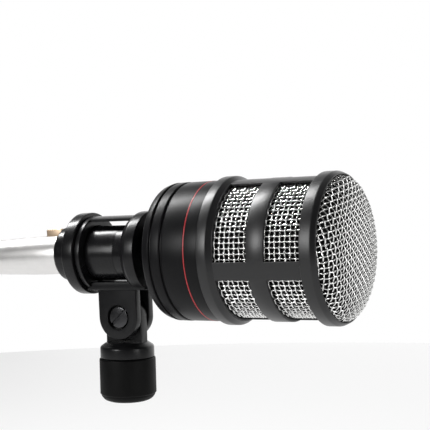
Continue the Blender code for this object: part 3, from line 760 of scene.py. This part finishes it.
def make_swivel():
    """Two hoops on a rail and a saddle, with an ear each side of the stand's tongue."""
    piece = turned("swivel", eased([(-16.2, 13.5), (-16.2, 18.0), (-13.8, 18.0), (-13.8, 13.5)]))
    front = [(9.0, 13.5), (9.0, 17.5), (12.0, 19.6, 0.8), (17.3, 19.6, 0.5), (17.3, 13.5)]
    front = turned("hoop", eased(front, 0.25, 4))
    edit(front)
    bpy.ops.mesh.select_all(action="SELECT")
    bpy.ops.mesh.bisect(plane_co=(0, 0, -15.5), plane_no=(0, 0, -1), use_fill=True, clear_outer=True)
    close_up()
    rail = turned("rail", eased([(-15.0, 16.8), (-15.0, 17.93), (11.0, 17.93), (11.0, 16.8)]))
    joined(rail, block("rail_width", (-20, -6.9, 5), (20, 6.9, 25), 0), "INTERSECT")
    joined(piece, front)
    joined(piece, rail)
    joined(piece, block("saddle", (-16.09, -8.7, -17.4), (16.6, 8.7, -13.55), 0.35))
    for side in (-1, 1):
        ear = round_tab("ear", (0, side * 5.6, -PIVOT_DROP), 10.6, 2.05, -15.5)
        joined(piece, ear)
    cutters = (
        ("shank", [(-9, 0), (-9, 2.3), (9, 2.3), (9, 0)], 32),
        ("counterbore", [(-9, 0), (-9, 7.2), (-7.9, 6.2), (-7.4, 5.9), (-4.9, 5.9), (-4.9, 0)], 64),
        ("pocket", [(5.0, 0), (5.0, 4.9), (9, 4.9), (9, 0)], 6),
    )
    for name, outline, steps in cutters:
        cutter = turned(name, outline, "Y", ((360, steps),))
        cutter.location.z = -PIVOT_DROP
        joined(piece, cutter, "DIFFERENCE")
    finished(piece, MIC, FINISH["swivel_plastic"], "swivel_cage", sharp=28)


def make_pivot():
    """Slotted screw and its nut, in the frame of the tilted microphone."""
    place = MIC @ Matrix.Translation((0, 0, -PIVOT_DROP))
    outline = [
        (-7.1, 0), (-7.1, 5.1, 0.55), (-5.2, 5.1), (-5.2, 2.0), (7.2, 2.0), (7.2, 0),
    ]
    screw = turned("tilt_screw", eased(outline, 0.25), "Y", ((360, 64),))
    slot = block("screw_slot", (-7, -9, -0.65), (7, -5.8, 0.65), 0.05)
    slot.rotation_euler.y = math.radians(-42)
    joined(screw, slot, "DIFFERENCE")
    finished(screw, place, FINISH["dark_steel"], "pivot_screw")
    nut = turned("tilt_nut", [(5.3, 2.3), (5.3, 4.5), (7.4, 4.5), (7.4, 2.3)], "Y", ((360, 6),))
    chamfer = turned("chamfer", [(4, 0), (4, 4.6), (7.0, 4.6), (7.6, 3.9), (7.6, 0)], "Y", ((360, 48),))
    joined(nut, chamfer, "INTERSECT")
    finished(nut, place, FINISH["dark_steel"], "pivot_nut")


def make_post():
    """The barrel that the collar turns on, with the tongue that the ears hold."""
    outline = [
        (15.2, 0), (15.2, 8.0, 0.5), (21.0, 8.0), (21.0, 13.0, 0.4), (26.2, 13.0, 1.2), (27.2, 11.5, 0.8),
        (28.2, 10.1, 0.3), (28.2, 0),
    ]
    piece = turned("swivel_post", eased(outline, 0.25, 4), "Z")
    joined(piece, round_tab("tongue", (0, 0, PIVOT_Z), 9.9, 2.85, 26.5))
    hole = turned("hole", [(-4, 0), (-4, 2.3), (4, 2.3), (4, 0)], "Y", ((360, 32),))
    hole.location.z = PIVOT_Z
    joined(piece, hole, "DIFFERENCE")
    finished(piece, STAND, FINISH["swivel_plastic"], "stand_barrel", sharp=28)


def make_collar():
    outline = [
        (0, 8.2), (0, 9.4, 0.2), (0.8, 11.6, 1.4), (2.6, 12.9, 0.6), (3.3, 13.0, 0.2), (3.7, 13.55, 0.3),
        (20.2, 13.55, 0.4), (20.7, 13.1, 0.2), (20.7, 8.35), (18.2, 8.35), (18.2, 9.8), (0.9, 9.8),
        (0.9, 8.2),
    ]
    collar = turned("stand_collar", eased(outline, 0.2), "Z")
    finished(collar, STAND, FINISH["collar_plastic"], "thread_collar")


def make_sleeve():
    """Brass sleeve of the collar, with the ridges of its stand thread."""
    pitch, root, crest = 0.94, 7.95, 7.45
    outline = [(14.6, root), (14.6, 9.5, 0.2), (1.2, 9.5, 0.2), (1.2, root)]
    for ridge in range(14):
        z = 1.3 + pitch * ridge
        outline += [(z, root), (z + 0.36, crest), (z + 0.56, crest), (z + 0.92, root)]
    sleeve = turned("thread_sleeve", eased(outline, 0.06), "Z")
    finished(sleeve, STAND, FINISH["brass"], "thread_insert", sharp=50)


# Studio


def softbox(name, place, target, size, power):
    clear_selection()
    bpy.ops.object.light_add(type="AREA", location=place)
    light = bpy.context.object
    light.name = name
    light.rotation_euler = (Vector(target) - Vector(place)).to_track_quat("-Z", "Y").to_euler()
    light.data.shape = "RECTANGLE"
    light.data.size, light.data.size_y = size
    light.data.energy = power
    light.visible_camera = False


def add_studio():
    """White room, seen white by the camera; in reflections it darkens towards the near side."""
    world = bpy.data.worlds.new("studio")
    bpy.context.scene.world = world
    world.use_nodes = True
    nodes, links = world.node_tree.nodes, world.node_tree.links
    seen = nodes["Background"]
    seen.inputs["Color"].default_value = (1, 1, 1, 1)
    room = nodes.new("ShaderNodeBackground")
    way, split, depth = (nodes.new(f"ShaderNode{kind}") for kind in ("TexCoord", "SeparateXYZ", "MapRange"))
    links.new(way.outputs["Generated"], split.inputs["Vector"])
    links.new(split.outputs["Y"], depth.inputs["Value"])
    for name, value in (("From Min", -0.6), ("From Max", 0.9), ("To Min", 0.015), ("To Max", 0.45)):
        depth.inputs[name].default_value = value
    links.new(depth.outputs["Result"], room.inputs["Strength"])
    path, mix = nodes.new("ShaderNodeLightPath"), nodes.new("ShaderNodeMixShader")
    links.new(path.outputs["Is Camera Ray"], mix.inputs["Fac"])
    links.new(room.outputs["Background"], mix.inputs[1])
    links.new(seen.outputs["Background"], mix.inputs[2])
    links.new(mix.outputs["Shader"], nodes["World Output"].inputs["Surface"])
    head, neck = (0.06, 0, 0.075), (-0.005, 0, 0.071)
    softbox("key", (-0.31, -0.98, 0.36), head, (0.36, 0.35), 6.5)
    softbox("overhead", (-0.40, 0.05, 0.72), neck, (0.10, 0.5), 9)
    softbox("back", (0.1, 1.3, 0.3), head, (2.4, 1.4), 11)
    softbox("side", (1.1, -0.30, 0.30), head, (0.35, 0.7), 4)
    clear_selection()
    bpy.ops.mesh.primitive_circle_add(vertices=256, radius=1.35, fill_type="NGON", location=(0, 0, -0.16))
    floor = added("floor")
    paper = Finish("opal_floor", (0.3, 0.3, 0.3), 0.7, Emission_Color=(1, 1, 1, 1), Emission_Strength=0.60)
    paper.bump(paper.noise(paper.coordinates(), 2, 3), 0.02)
    floor.data.materials.append(paper.material)
    bpy.context.scene.view_settings.view_transform = "Standard"


def main():
    add_camera()
    dress_nodes()
    make_basket()
    make_bezel()
    make_rear_body()
    make_side_weave()
    make_dome_weave()
    make_foam()
    make_neck()
    make_plug()
    make_contacts()
    make_swivel()
    make_pivot()
    make_post()
    make_collar()
    make_sleeve()
    add_studio()


main()
